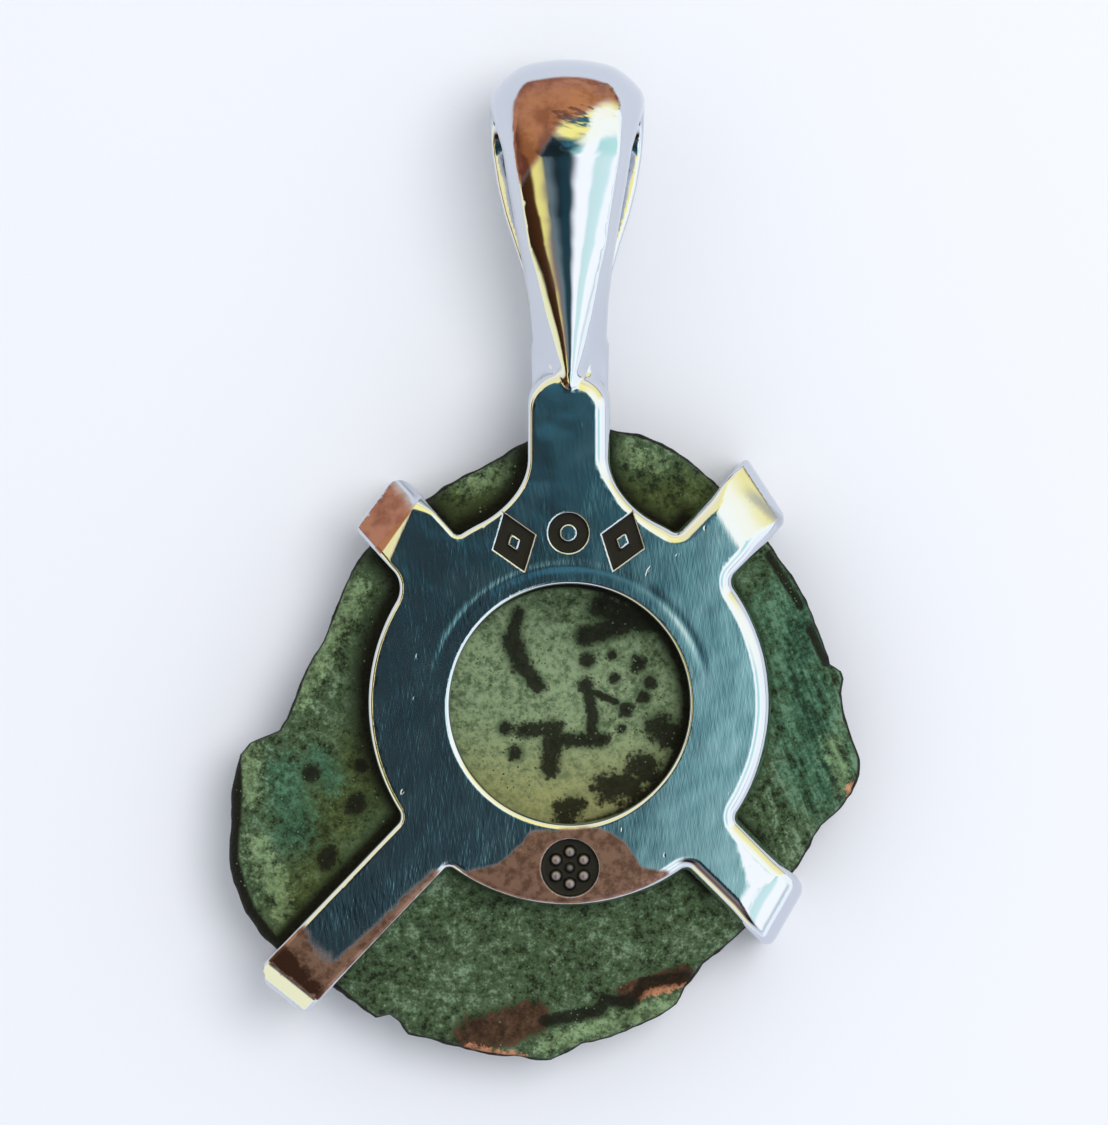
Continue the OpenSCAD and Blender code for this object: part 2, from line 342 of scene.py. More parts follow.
# The back's outline: the ring with its arms and stem, and the fillets between them
def plateOutline(u, v):
    outline = np.hypot(u, v) - settingSizes["ringR"]
    for arm in armRows:
        along, across = armFrame(arm, u, v)
        half = arm["width"] / 2
        barEnd = arm["wallOut"] - arm["run"] - 0.35
        bar = np.maximum(np.maximum(np.abs(across) - half, along - barEnd), -along)
        fillet = np.where(across > 0, arm["filletLeft"], arm["filletRight"])
        outline = roundMin(outline, bar, fillet)
    stem = roundMax(np.abs(u - settingSizes["stemShift"]) - settingSizes["stemHalf"],
                    v - settingSizes["tongueTop"], settingSizes["tongueRound"])
    return roundMin(outline, np.maximum(stem, -v), settingSizes["stemFillet"])


# The flat part, up to where the arms bend
def plateField(u, v, z):
    rho = np.hypot(u, v)
    outline = plateOutline(u, v)
    edge = edgeRounding(u, v)
    groove = settingSizes["grooveDepth"] * np.exp(-((rho - settingSizes["grooveR"]) / 0.12) ** 2)
    groove = groove * smooth(v, 0.2, 1.8)
    top = z - backZ + groove + dome(u, v)
    for arm in armRows:
        along, across = armFrame(arm, u, v)
        if arm["cheek"]:
            top = top + cornerFacet(arm, along, across) * (np.abs(across) < 1.3)
    body = roundMax(outline, top, edge)
    body = roundMax(body, plateZ - z, settingSizes["innerEdge"])
    windowEdge = 0.09 + 0.08 * smooth(-u * 0.5 - v * 0.87, 0.5, 2.6)
    return roundMax(body, settingSizes["windowR"] - rho, windowEdge)


# An arm's end, bent over the coin's edge, with its wall and its pad on the coin's front
def prongField(arm, u, v, z):
    along, across = armFrame(arm, u, v)
    half = arm["width"] / 2
    slope = math.radians(arm["slope"])
    past = pastBend(arm, along, across)
    bent = np.clip(past, 0, arm["bend"] * math.sin(slope))
    drop = arm["bend"] - np.sqrt(arm["bend"] ** 2 - bent ** 2)
    drop = drop + math.tan(slope) * np.maximum(past - bent, 0)
    drop = np.maximum(drop, cornerFacet(arm, along, across))
    side = (z - backZ + dome(u, v) + drop) * np.sqrt(1 - (bent / arm["bend"]) ** 2)
    side = roundMax(side, past - arm["run"], arm["roundOut"])
    side = roundMax(side, -z, settingSizes["padRound"])
    middle, tall = (plateZ + settingSizes["padT"]) / 2, (plateZ - settingSizes["padT"]) / 2
    pocket = roundMax(along - arm["wallIn"], np.abs(z - middle) - tall, 0.12)
    padEnd = arm["wallIn"] - settingSizes["padL"] + half
    pad = np.where(along < padEnd, np.hypot(along - padEnd, across), np.abs(across)) - half
    bar = np.maximum(np.abs(across) - half, settingSizes["barStart"] - along)
    plan = np.where(z > middle, bar, pad)
    body = roundMax(plan, side, edgeRounding(u, v))
    return roundMax(body, -pocket, settingSizes["innerEdge"])


# The bail's hole is a tapered slot, and its legs lean by this angle to meet at the foot
lean = math.asin((settingSizes["holeR"] - settingSizes["footR"]) / (holeY - settingSizes["footY"]))


# The bail: a strap round the hole, whose width, crest and thickness change with the height
def bailField(u, v, z):
    x = np.abs(u + settingSizes["bailShift"] * smooth(v, 8.5, 12))
    dy, dz = v - holeY, z - holeZ
    far = np.hypot(dy, dz)
    crown = dy * math.cos(lean) + np.abs(dz) * math.sin(lean) > 0
    out = np.where(crown, far - settingSizes["holeR"],
                   np.abs(dz) * math.cos(lean) - dy * math.sin(lean) - settingSizes["holeR"])
    safe = np.maximum(far, 1e-6)
    tiltY = np.where(crown, dy / safe, -math.sin(lean))
    tiltZ = np.where(crown, dz / safe, np.sign(dz) * math.cos(lean))
    h = (v - out * tiltY - settingSizes["stemTop"]) / settingSizes["bailH"]
    back = (1 + tiltZ) / 2
    frontHalf, backHalf, crest, thick = (
        np.interp(h, strapRows[:, 0], strapRows[:, k]) for k in range(1, 5))
    half = (frontHalf * (1 - back) + backHalf * back) * settingSizes["bailW"] / 2
    crest = crest * settingSizes["bailW"] / 2
    thick = thick * settingSizes["bailT"] + 0.16 * (2 * np.maximum(tiltY, 0) * tiltZ) ** 2
    (dentU, dentV), (halfU, halfV) = settingSizes["dentPlace"], settingSizes["dentHalf"]
    dent = np.exp(-((u - dentU) / halfU) ** 2 - ((v - dentV) / halfV) ** 2)
    thick = thick - settingSizes["dentDepth"] * dent * (tiltZ > 0)
    crestField = out - thick * (1 - settingSizes["crestFall"] * np.minimum(x / crest, 1.4) ** 2)
    low = 0.05 + 0.11 * smooth(h, 0.1, 0.5) + 0.17 * smooth(h, 0.72, 0.82)
    rise, reach = (0.8 - low) * thick, half - crest
    flank = ((x - crest) * rise + (out - 0.8 * thick) * reach) / np.hypot(rise, reach)
    strap = roundMax(crestField, flank, 0.06 + 0.22 * smooth(h, 0.72, 0.8))
    strap = roundMax(strap, x - half, 0.1)
    strap = roundMax(strap, settingSizes["stemTop"] - v, 0.06)
    footY = v - settingSizes["footY"]
    foot = footY * math.cos(lean) + np.abs(dz) * math.sin(lean) < 0
    hole = np.where(foot, np.hypot(footY, dz) - settingSizes["footR"], out)
    return roundMax(strap, -hole, 0.12)


# A block between two corners, its edges rounded
def blockField(u, v, z, low, high, r):
    d = roundMax(np.abs(u - (low[0] + high[0]) / 2) - (high[0] - low[0]) / 2,
                 np.abs(v - (low[1] + high[1]) / 2) - (high[1] - low[1]) / 2, r)
    return roundMax(d, np.abs(z - (low[2] + high[2]) / 2) - (high[2] - low[2]) / 2, r)


# Punched marks, all plain ornament: above the window two lozenges and a circle, at bearings
# round the ring's centre, and below it a round recess with seven pellets
markRows = [(109, "lozenge"), (90.5, "circle"), (72, "lozenge")]
markSizes = {"reach": 4.28, "lozenge": (0.36, 0.5), "circleR": 0.36, "line": 0.14, "depth": 0.17}
rosette = {"below": 4.1, "radius": 0.72, "depth": 0.2, "pelletReach": 0.4, "pelletR": 0.16,
           "centreR": 0.13}


# A lozenge's field, from its half sizes
def lozenge(x, y, a, b):
    return (np.abs(x) / a + np.abs(y) / b - 1) * min(a, b) * 0.75


def markPlan(u, v):
    plan = np.full(np.broadcast(u, v).shape, 9.0)
    for bearing, form in markRows:
        b = math.radians(bearing)
        radial = u * math.cos(b) + v * math.sin(b) - markSizes["reach"]
        across = -u * math.sin(b) + v * math.cos(b)
        if form == "lozenge":
            line = lozenge(across, radial, *markSizes["lozenge"])
        else:
            line = np.hypot(across, radial) - markSizes["circleR"]
        plan = np.minimum(plan, np.abs(line) - markSizes["line"])
    return plan


def rosetteField(u, v, z):
    y = v + rosette["below"]
    rise = (z - backZ + rosette["depth"]) ** 2
    bowl = roundMax(np.hypot(u, y) - rosette["radius"], backZ - rosette["depth"] - z, 0.08)
    for k in range(6):
        a = math.radians(60 * k + 30)
        x0, y0 = rosette["pelletReach"] * math.cos(a), rosette["pelletReach"] * math.sin(a)
        pellet = np.sqrt((u - x0) ** 2 + (y - y0) ** 2 + rise) - rosette["pelletR"]
        bowl = roundMax(bowl, -pellet, 0.03)
    centre = np.sqrt(u * u + y * y + rise) - rosette["centreR"]
    return roundMax(bowl, -centre, 0.03)


def settingField(u, v, z):
    body = plateField(u, v, z)
    for arm in armRows:
        body = np.minimum(body, prongField(arm, u, v, z))
    neck = blockField(u, v, z, settingSizes["neckLow"], settingSizes["neckHigh"], 0.2)
    bail = roundMin(bailField(u, v, z), neck, 0.15)
    body = roundMin(body, bail, 0.22)
    recess = roundMax(markPlan(u, v), backZ - markSizes["depth"] - z, 0.05)
    body = roundMax(body, -recess, 0.035)
    return roundMax(body, -rosetteField(u, v, z), 0.04)


# Shortest edge that is still split, longer under the flat back, where little shows
def settingShortest(p):
    return np.where(p[:, 2] < plateZ + 0.2, 0.1, 0.042)


# Edges split down to a set length, however flat the metal: at the marks, the groove, the
# window's rim, the filed corner, the bail's front leg and the softly worn edges
def nearMarks(p, length):
    u, v, z = p.T
    high = z > backZ - 0.3
    plan = markPlan(u, v)
    band = (plan < 0.1) & (plan > -0.2)
    disc = np.hypot(u, v + rosette["below"]) < 0.85
    rho = np.hypot(u, v)
    groove = (rho > 3.1) & (rho < 3.8) & (v > 0.2) & (length > 0.07)
    near = high & ((band & (length > 0.05)) | (disc & (length > 0.05)) | groove)
    near = near | (high & (rho > 2.9) & (rho < 3.25) & (length > 0.06))
    along, across = armFrame(armRows[1], u, v)
    corner = (along > 5.0) & (along < 6.4) & (np.abs(across) < 1.0) & (z > backZ - 0.4)
    leg = (v > 9) & (v < 14.5) & (z < holeZ) & (np.abs(u) > 0.9)
    softEdge = (rho > 4.4) & (rho < 5.1) & (u > 1.5) & high
    along, across = armFrame(armRows[3], u, v)
    softEdge |= (along > 4.6) & (along < 7.2) & (np.abs(across + 0.6) < 0.3) & high
    near |= (corner & (length > 0.055)) | (leg & (length > 0.09))
    return near | (softEdge & (length > 0.065))


# Painted reflection of warm surroundings, brown like a tarnish: its upper edge across the ring's
# lower part, and a strip along the long arm
brownReflectionEdge = np.array([[-3.4, -4.1], [-2.6, -4.15], [-1.85, -4.0], [-1.2, -3.45], [-1.0, -3.15],
                        [0.75, -3.05], [1.4, -3.45], [1.8, -4.05], [2.8, -4.25], [3.4, -4.3]])


def brownReflectionPlan(u, v):
    edge = np.interp(u, brownReflectionEdge[:, 0], brownReflectionEdge[:, 1])
    patch = smooth(edge - v, -0.2, 0.25) * smooth(3.3 - np.abs(u - 0.2), 0, 0.5)
    along, across = armFrame(armRows[2], u, v)
    strip = smooth(across, 0.34 - 0.05 * (along - 5.5), 0.86 - 0.05 * (along - 5.5))
    end = smooth(along + 0.4 * across ** 2, 8.25, 9.35)
    # Above one the painted brown reflection is darker still
    darkerBrown = 1 + 0.8 * smooth(along - 0.1 * across, 9.1, 9.6)
    ends = smooth(pastBend(armRows[2], along, across), 0.02, -0.04)
    longArm = np.maximum(strip * smooth(along, 4.9, 5.6), end) * darkerBrown * ends
    return np.maximum(patch, longArm * (along > 4.8) * (np.abs(across) < 1.1))


# Painted reflection of warm surroundings, brown, on the upper left prong's facet and the bail's
# crown: how far each place is inside its rim
def warmReflectionPlan(u, v, z, normal):
    along, across = armFrame(armRows[1], u, v)
    facet = smooth(pastBend(armRows[1], along, across), -0.02, 0.05) * (np.abs(across) < 1.1)
    warmReflection = facet * smooth(across, -1.0, -0.15) * smooth(normal[:, 2], 0.66, 0.74)
    crown = smooth(np.hypot((u - 0.95) / 1.12, (v - 13.1) / 1.85), 0.85, 1.12)
    lowest = 14.5 + 1.54 * np.minimum(u + 0.19, 0)
    onCrest = smooth(normal[:, 2], 0.68, 0.76) * smooth(v - lowest, -0.35, 0.3) * (z > holeZ)
    return np.maximum(warmReflection, crown * onCrest)


print("Setting: shaping the silver")
points, tris, normal = skin(settingField, (-7.7, -7.7, -0.1), (5.9, 16.4, 4.8), 0.11,
                            (16, 15, 15), settingShortest, nearMarks)
print("Setting:", len(points), "points,", len(tris), "triangles")
u, v, z = points.T
disc = np.hypot(u, v + rosette["below"]) - rosette["radius"]
inMarks = np.minimum(markPlan(u, v), disc) < 0.03
# A dark smudge on the upper right prong
along, across = armFrame(armRows[0], u, v)
soot = 0.42 * np.exp(-((along - 6.93) / 0.13) ** 4 - ((across + 0.25) / 0.6) ** 4)
warmReflection = warmReflectionPlan(u, v, z, normal)
values = {
    "recess": np.where(inMarks, smooth(backZ - z, 0.01, 0.1), soot * (z > backZ - 1)),
    "brushed": smooth(normal[:, 2], 0.93, 0.99) * (z > backZ - 0.2) * (v < 8.2),
    "scuffed": smooth(-u, -0.8, 2.2) * (v < 5.5),
    # Painted reflection of warm surroundings, brown, low on the ring and along the long arm
    "brownReflection": brownReflectionPlan(u, v) * smooth(normal[:, 2], 0.5, 0.9) * (z > backZ - 0.4),
    # Painted reflection of warm surroundings on the upper left prong's facet and the bail's crown
    "warmReflection": warmReflection,
    "warmReflected": np.minimum(warmReflection * 8, 1),
    "crinkle": np.exp(-((u - 0.35) / 0.75) ** 2 - ((v - 14.95) / 0.5) ** 2) * (z > holeZ),
}
setting = makePiece("silverSetting", points, tris, normal, values)


# The coin. Sizes in millimetres, with its face's height above the table.
coinSizes = {"diameter": 16.0, "thickness": 1.6, "bottom": 0.76, "edgeRound": 0.3, "dish": 0.08}
# Its outline: bearing and radius as a share of half the diameter
outlineRows = np.array([
    [2, 0.858], [5, 0.869], [6.6, 0.864], [8.4, 0.832], [14, 0.825], [24, 0.815],
    [35, 0.805], [49, 0.815], [58, 0.838], [67, 0.863], [76, 0.875],
    [84, 0.872], [91, 0.86], [99, 0.84], [106, 0.808], [111, 0.796],
    [124, 0.786], [132, 0.79], [142, 0.805], [149, 0.808], [159, 0.797],
    [166, 0.806], [173, 0.842], [179, 0.868], [183, 0.895], [185.5, 0.925],
    [187.2, 1.02], [189, 1.058], [193, 1.09], [199, 1.133], [205, 1.19],
    [209, 1.207], [213, 1.22], [218, 1.218], [221, 1.205], [227, 1.175],
    [232, 1.166], [238.4, 1.17], [240, 1.143], [242, 1.146], [244, 1.165],
    [249, 1.147], [256, 1.141], [262, 1.133], [267, 1.134], [270, 1.1],
    [272, 1.08], [277, 1.067], [282, 1.045], [287.5, 1.025], [289.5, 1.012],
    [292, 0.97], [297, 0.927], [301, 0.917], [308, 0.905], [317, 0.88],
    [324, 0.888], [331, 0.882], [334, 0.888], [338, 0.916], [342, 0.936],
    [346, 0.942], [349, 0.934], [353, 0.897], [357, 0.87],
])


def coinRadius(bearing):
    share = np.interp(bearing, outlineRows[:, 0], outlineRows[:, 1], period=360)
    return share * coinSizes["diameter"] / 2


# The worn coin: a rough edge, a slightly dished face and shallow pits
def coinField(u, v, z):
    rho = np.hypot(u, v)
    radius = coinRadius(np.degrees(np.arctan2(v, u)) % 360)
    middle = coinSizes["bottom"] + coinSizes["thickness"] / 2
    tall = coinSizes["thickness"] / 2
    uneven = 0.05 * softNoise(u, v, 0, 0.45, 3) + 0.03 * softNoise(u, v, 0, 0.2, 4) - 0.03
    share = rho / radius
    dish = coinSizes["dish"] * (1 - smooth(share, 0.3, 0.85))
    pits = 0.02 * (1 + softNoise(u, v, 0, 0.6, 5)) * smooth(share, 0, 1.0)
    flat = np.abs(z - middle) - tall + 0.03 + dish + pits
    return roundMax((rho - radius - uneven * 0.6) * 0.9, flat, coinSizes["edgeRound"])


# Above zero inside capsules given by two ends and a radius, up to one at their middle
def blotches(u, v, rows):
    best = np.full(len(u), -1.0)
    for u0, v0, u1, v1, r in rows:
        du, dv = u1 - u0, v1 - v0
        t = np.clip(((u - u0) * du + (v - v0) * dv) / max(du * du + dv * dv, 1e-9), 0, 1)
        best = np.maximum(best, 1 - np.hypot(u - u0 - t * du, v - v0 - t * dv) / r)
    return best


# Dark spots and coloured patches on the coin's back: each a capsule's two ends and its radius
spotRows = [
    (-1.32, 2.25, -1.46, 1.6, 0.2), (-1.46, 1.6, -1.24, 1.0, 0.29), (-1.24, 1.0, -0.81, 0.46, 0.22),
    (0.36, 1.68, 1.35, 1.95, 0.27), (0.8, 2.4, 1.9, 2.05, 0.34), (0.45, 1.09, 0.45, 1.05, 0.21),
    (1.06, 1.21, 1.06, 1.21, 0.15), (1.7, 0.96, 1.72, 1.0, 0.23), (1.12, 0.62, 1.12, 0.62, 0.16),
    (2.02, 0.51, 2.02, 0.51, 0.2), (1.86, 0.15, 1.86, 0.15, 0.2), (0.38, 0.46, 0.38, 0.46, 0.22),
    (0.45, 0.33, 0.58, -0.39, 0.17), (0.58, -0.39, 0.54, -0.84, 0.18),
    (0.54, 0.29, 1.17, 0.02, 0.1), (1.42, -0.16, 1.42, -0.16, 0.21),
    (-0.18, -0.93, 0.81, -0.93, 0.21), (-1.17, -0.7, -0.45, -0.66, 0.22),
    (-0.45, -0.68, -0.44, -1.1, 0.3), (-0.44, -1.1, -0.52, -1.65, 0.27),
    (-1.64, -0.64, -1.64, -0.64, 0.21), (-1.37, -1.27, -1.37, -1.27, 0.22),
    (1.3, -0.66, 1.3, -0.66, 0.14), (2.25, -0.61, 2.7, -0.95, 0.42), (1.8, -1.64, 1.9, -1.7, 0.44),
    (0.95, -2.14, 1.55, -2.1, 0.43), (0.1, -2.6, -0.15, -2.75, 0.34),
    (-6.53, -1.8, -6.5, -1.75, 0.25), (-5.28, -1.59, -5.28, -1.59, 0.18),
    (-5.41, -2.59, -5.35, -2.5, 0.28), (-6.15, -4.0, -6.08, -3.85, 0.26),
    (-0.6, -8.03, 0.75, -7.74, 0.17), (0.75, -7.74, 0.85, -7.46, 0.15),
    (0.85, -7.46, 1.5, -7.55, 0.15), (1.5, -7.55, 1.9, -7.07, 0.17), (1.9, -7.07, 2.9, -6.9, 0.16),
    (5.0, 3.75, 5.8, 2.45, 0.11), (6.05, 1.85, 6.45, 1.0, 0.11),
]
patchRows = {
    "emerald": [(-7.2, -1.8, -6.9, -3.2, 1.0), (-6.3, -1.4, -6.0, -2.0, 0.6),
                (5.5, 2.4, 6.3, -2.0, 1.6)],
    "sage": [(-8.1, -1.2, -8.0, -2.3, 0.5), (1.4, 6.3, 2.2, 6.0, 0.4),
             (-2.6, 5.4, -1.6, 5.8, 0.35), (-6.8, 0.2, -5.4, 2.8, 0.5),
             (-0.6, -8.6, 2.8, -7.6, 0.42), (-7.9, -3.6, -7.2, -5.2, 0.45),
             (6.6, -1.0, 6.9, -2.2, 0.4)],
    "olive": [(-6.2, -3.0, -4.6, -1.0, 1.5), (-6.9, -5.2, -6.2, -4.0, 1.2),
              (-3.5, 4.6, 3.4, 5.0, 1.3)],
    "umber": [(-2.42, -8.4, -1.0, -7.95, 0.62), (1.4, -7.3, 2.9, -6.8, 0.3)],
    "copper": [(1.7, -7.33, 2.85, -7.0, 0.24), (7.1, -2.1, 7.15, -2.8, 0.2),
               (-2.6, -8.75, -1.2, -9.0, 0.22)],
}
shortestOnCoin = 0.026      # shortest edge that is still split


# Inside the window no edge is left long, because its dark spots need fine outlines
def nearWindow(p, length):
    return (np.hypot(p[:, 0], p[:, 1]) < 3.2) & (p[:, 2] > 1.8) & (length > 0.075)


print("Coin: shaping the bronze")
points, tris, normal = skin(coinField, (-9.9, -9.9, 0.5), (7.9, 7.2, 2.6), 0.12, (18, 18),
                            lambda p: shortestOnCoin, nearWindow)
print("Coin:", len(points), "points,", len(tris), "triangles")
u, v, z = points.T
rho = np.hypot(u, v)
onBack = z > coinSizes["bottom"] + coinSizes["thickness"] / 2
values = {name: blotches(u, v, rows) for name, rows in patchRows.items()}
values["spots"] = np.where(onBack, blotches(u, v, spotRows), -1)
# Rubbed paler inside the window, less at its top
inside = 1 - smooth(rho, 3.0, 3.6)
values["rubbed"] = inside * (1 - 0.8 * smooth(v + 0.3 * u, 0.5, 2.6)) * onBack
values["low"] = smooth(-v, 0.0, 3.0)
values["striae"] = smooth(u, 4.0, 5.5)
# Painted shadow, with some dirt, along the mount, reaching further to the upper left, and inside
# the window further to the right
beside = np.maximum(plateOutline(u + 0.12, v - 0.1), 0)
reach = 0.22 + 0.4 * smooth(v - u, 0, 6)
inWindow = np.maximum(settingSizes["windowR"] - np.hypot(u + 0.1, v + 0.06), 0)
reachIn = 0.08 + 0.22 * smooth(u - 0.3 * v, 0.5, 2.5)
dirtAndShade = np.where(rho > 4, np.exp(-beside / reach), np.exp(-inWindow / reachIn)) * onBack
# Painted shade also darkens the coin's rim, most on the left, and its steep side wall
bearing = np.degrees(np.arctan2(v, u)) % 360
rim = coinRadius(bearing) - rho
broadRim = 0.08 + 0.22 * smooth(bearing, 188, 196) * smooth(bearing, 240, 215)
values["dirtAndShade"] = np.maximum(dirtAndShade, np.maximum(smooth(rim, 1.4 * broadRim, 0.8 * broadRim),
                                             0.66 * smooth(normal[:, 2], 0.7, 0.3)))
# Grains are strewn where nothing covers the coin
free = (plateOutline(u, v) > 0.3) & (rho > 4) | (rho < 2.75)
for arm in armRows:
    along, across = armFrame(arm, u, v)
    free &= (along < 4) | (np.abs(across) > 1.2)
cluster = smooth(softNoise(u, v, 0, 0.7, 11), -0.4, 0.5)
values["grainy"] = (free & (normal[:, 2] > 0.9)) * cluster
coin = makePiece("bronzeCoin", points, tris, normal, values)


# An sRGB hex colour turned to linear
def linearColour(text):
    parts = [int(text[k:k + 2], 16) / 255 for k in (1, 3, 5)]
    return [*[p / 12.92 if p <= 0.04045 else ((p + 0.055) / 1.055) ** 2.4 for p in parts], 1]


def addNode(tree, kind, inputs=None, **settings):
    node = tree.nodes.new(kind)
    for key, value in settings.items():
        setattr(node, key, value)
    for key, value in (inputs or {}).items():
        if isinstance(value, bpy.types.NodeSocket):
            tree.links.new(value, node.inputs[key])
        else:
            node.inputs[key].default_value = value
    return node


def newMaterial(name):
    material = bpy.data.materials.new(name)
    material.use_nodes = True
    tree = material.node_tree
    shader = next(node for node in tree.nodes if node.type == "BSDF_PRINCIPLED")
    return material, tree, shader


def mathNode(tree, operation, a, b=0.0, c=0.0):
    return addNode(tree, "ShaderNodeMath", {0: a, 1: b, 2: c}, operation=operation).outputs[0]


# Noise around 0.5, its scale in repeats a millimetre
def noise(tree, place, scale, detail=2.0, rough=0.5):
    inputs = {"Vector": place, "Scale": scale, "Detail": detail, "Roughness": rough}
    return addNode(tree, "ShaderNodeTexNoise", inputs).outputs[0]


def between(tree, value, low, high, first=0.0, last=1.0):
    inputs = {"Value": value, "From Min": low, "From Max": high, "To Min": first, "To Max": last}
    return addNode(tree, "ShaderNodeMapRange", inputs, interpolation_type="SMOOTHSTEP").outputs[0]


def mixColours(tree, share, first, second):
    first, second = (linearColour(c) if isinstance(c, str) else c for c in (first, second))
    return addNode(tree, "ShaderNodeMix", {0: share, 6: first, 7: second},
                   data_type="RGBA").outputs[2]


def attribute(tree, name):
    return addNode(tree, "ShaderNodeAttribute", attribute_name=name).outputs["Fac"]


def stretched(tree, place, turn, scales):
    turned = addNode(tree, "ShaderNodeVectorRotate", {"Vector": place, "Angle": math.radians(turn)},
                     rotation_type="Z_AXIS").outputs[0]
    return addNode(tree, "ShaderNodeVectorMath", {0: turned, 1: scales},
                   operation="MULTIPLY").outputs[0]


def millimetres(tree):
    place = addNode(tree, "ShaderNodeTexCoord").outputs["Object"]
    return addNode(tree, "ShaderNodeVectorMath", {0: place, "Scale": 1000.0},
                   operation="SCALE").outputs[0]


# Bump from a height in millimetres
def addBump(tree, shader, height):
    bump = addNode(tree, "ShaderNodeBump", {"Height": height, "Distance": 0.001, "Strength": 1.0})
    tree.links.new(bump.outputs[0], shader.inputs["Normal"])


# Sterling silver, cast, filed flat on the back and buffed by hand, then worn: hair scratches along
# the flat faces and dark oxide left in the punched marks. The brown low on the ring and along the
# long arm is a painted reflection of warm surroundings
silverLook = {
    # Of the next four colours, the last two browns paint a reflection of warm surroundings on the
    # upper left prong and the bail's crown
    "metal": "#CED3DC", "oxide": "#15120E", "warmReflection": "#A06A54", "warmReflectionDark": "#7E4A38",
    # Browns of a painted reflection of warm surroundings low on the ring and along the long arm,
    # and its roughness
    "brownReflection": "#94705F", "brownReflectionDark": "#6E4E40", "darkerBrown": "#40251A",
    "roughness": 0.06, "brushedRoughness": 0.09, "brownReflectionRoughness": 0.34,
    "hairs": (13.0, 2.6, 6.0),      # scratches a millimetre across, along and in depth
    "hairTurn": -8.0, "hairDepth": 0.0013, "scuffDepth": 0.0028,
    "fineHairs": (24.0, 1.2, 6.0), "fineHairTurn": 11.0,
}
print("Silver: building the material")
silver, tree, shader = newMaterial("polishedSterlingSilver")
mm = millimetres(tree)
brushed, brownReflected = attribute(tree, "brushed"), attribute(tree, "brownReflection")
warmReflection = attribute(tree, "warmReflection")
recess, crinkle = attribute(tree, "recess"), attribute(tree, "crinkle")
hairs = noise(tree, stretched(tree, mm, silverLook["hairTurn"], silverLook["hairs"]), 1.0, 2.0, 0.5)
fineHairs = stretched(tree, mm, silverLook["fineHairTurn"], silverLook["fineHairs"])
fineHairs = noise(tree, fineHairs, 1.0, 0.0)
smudges = noise(tree, mm, 0.9, 3.0, 0.55)
uneven = mathNode(tree, "MULTIPLY_ADD", noise(tree, mm, 2.4, 4.0, 0.65), 0.7, brownReflected)
brownShare = between(tree, uneven, 0.62, 1.05)
brownShare = mathNode(tree, "MULTIPLY", brownShare, mathNode(tree, "SUBTRACT", 1.0, recess))
warmReflection = mathNode(tree, "MULTIPLY_ADD", mathNode(tree, "SUBTRACT", smudges, 0.5), 0.9, warmReflection)
warmReflection = mathNode(tree, "MULTIPLY", between(tree, warmReflection, 0.1, 0.9), attribute(tree, "warmReflected"))
# Painted reflection of warm surroundings: two browns mixed by noise, the metal's shine lowered
# under it
warmReflectionTone = mixColours(tree, between(tree, noise(tree, mm, 1.3, 4.0, 0.6), 0.42, 0.66),
                      silverLook["warmReflection"], silverLook["warmReflectionDark"])
metal = mixColours(tree, warmReflection, silverLook["metal"], warmReflectionTone)
metal = mixColours(tree, recess, metal, silverLook["oxide"])
# Brown that paints a reflection of warm surroundings, darker towards the long arm's end
brownTone = mixColours(tree, between(tree, noise(tree, mm, 3.2, 4.0, 0.7), 0.42, 0.62),
                   silverLook["brownReflection"], silverLook["brownReflectionDark"])
darkerBrown = mathNode(tree, "MULTIPLY_ADD", noise(tree, mm, 3.6, 5.0, 0.7), 1.6, brownReflected)
brownTone = mixColours(tree, between(tree, darkerBrown, 1.9, 2.45), brownTone, silverLook["darkerBrown"])
tree.links.new(mixColours(tree, brownShare, metal, brownTone), shader.inputs["Base Color"])
shine = mathNode(tree, "MULTIPLY_ADD", recess, -0.7, 1.0)
shine = mathNode(tree, "MULTIPLY_ADD", mathNode(tree, "MULTIPLY", warmReflection, warmReflection), -0.55, shine)
tree.links.new(mathNode(tree, "MULTIPLY_ADD", brownShare, -0.3, shine), shader.inputs["Metallic"])
rough = mathNode(tree, "MULTIPLY_ADD", brushed,
                 silverLook["brushedRoughness"] - silverLook["roughness"], silverLook["roughness"])
rough = mathNode(tree, "MULTIPLY_ADD", between(tree, smudges, 0.45, 0.7), 0.03, rough)
rough = mathNode(tree, "MAXIMUM", rough, mathNode(tree, "MULTIPLY", recess, 0.55))
brownRough = mathNode(tree, "MULTIPLY", brownShare, silverLook["brownReflectionRoughness"])
tree.links.new(mathNode(tree, "MAXIMUM", rough, brownRough), shader.inputs["Roughness"])
height = mathNode(tree, "MULTIPLY_ADD", fineHairs, 0.3, hairs)
deep = mathNode(tree, "MULTIPLY_ADD", attribute(tree, "scuffed"),
                silverLook["scuffDepth"] - silverLook["hairDepth"], silverLook["hairDepth"])
height = mathNode(tree, "MULTIPLY", height, deep)
nicks = between(tree, noise(tree, stretched(tree, mm, 25, (3.0, 1.6, 2.0)), 1.0, 2.0), 0.72, 0.78)
height = mathNode(tree, "MULTIPLY_ADD", nicks, -0.005, height)
height = mathNode(tree, "MULTIPLY", height, brushed)
height = mathNode(tree, "MULTIPLY_ADD", noise(tree, mm, 1.1, 1.0), 0.012, height)
folds = noise(tree, stretched(tree, mm, 15, (1.8, 4.5, 3.0)), 1.0, 1.5, 0.5)
height = mathNode(tree, "MULTIPLY_ADD", mathNode(tree, "MULTIPLY", folds, crinkle), 0.07, height)
addBump(tree, shader, height)
setting.data.materials.append(silver)

